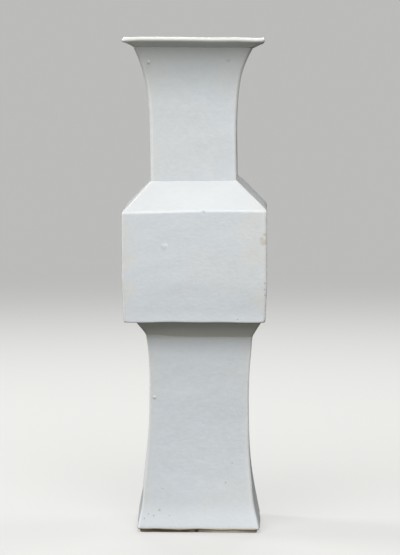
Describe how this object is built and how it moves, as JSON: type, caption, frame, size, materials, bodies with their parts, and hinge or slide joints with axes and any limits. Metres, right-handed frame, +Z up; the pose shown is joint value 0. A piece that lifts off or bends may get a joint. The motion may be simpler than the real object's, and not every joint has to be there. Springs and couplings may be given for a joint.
{
  "type": "square vase",
  "caption": "Tall square ceramic vase: flared neck with everted lip, sloping shoulder, box belly, and a hollow stem spreading into a footed base.",
  "frame": {"origin": "on the floor, on the upright axis of the neck and belly", "axes": "+Z up along the height; the front face looks along -Y"},
  "size_m": [0.1312, 0.1312, 0.45],
  "materials": {
    "glaze": "satin pale grey-white glaze",
    "inner_glaze": "thin pale glaze inside",
    "bare_clay": "unglazed, buff"
  },
  "bodies": {
    "root": {"lip_front": "glaze", "lip_right": "glaze", "lip_back": "glaze", "lip_left": "glaze", "neck_front": "glaze", "neck_right": "glaze", "neck_back": "glaze", "neck_left": "glaze", "neck_seam_coil_front_right": "inner_glaze", "neck_seam_coil_back_right": "inner_glaze", "neck_seam_coil_back_left": "inner_glaze", "neck_seam_coil_front_left": "inner_glaze", "shoulder_front": "glaze", "shoulder_right": "glaze", "shoulder_back": "glaze", "shoulder_left": "glaze", "belly_front": "glaze", "belly_right": "glaze", "belly_back": "glaze", "belly_left": "glaze", "belly_seam_coil_front_right": "inner_glaze", "belly_seam_coil_back_right": "inner_glaze", "belly_seam_coil_back_left": "inner_glaze", "belly_seam_coil_front_left": "inner_glaze", "belly_floor": "inner_glaze", "collar_front": "glaze", "collar_right": "glaze", "collar_back": "glaze", "collar_left": "glaze", "stem_front": "glaze", "stem_right": "glaze", "stem_back": "glaze", "stem_left": "glaze", "stem_seam_coil_front_right": "inner_glaze", "stem_seam_coil_back_right": "inner_glaze", "stem_seam_coil_back_left": "inner_glaze", "stem_seam_coil_front_left": "inner_glaze", "base_slab": "inner_glaze", "foot_ring_front": "bare_clay", "foot_ring_right": "bare_clay", "foot_ring_back": "bare_clay", "foot_ring_left": "bare_clay"}
  },
  "joints": []
}
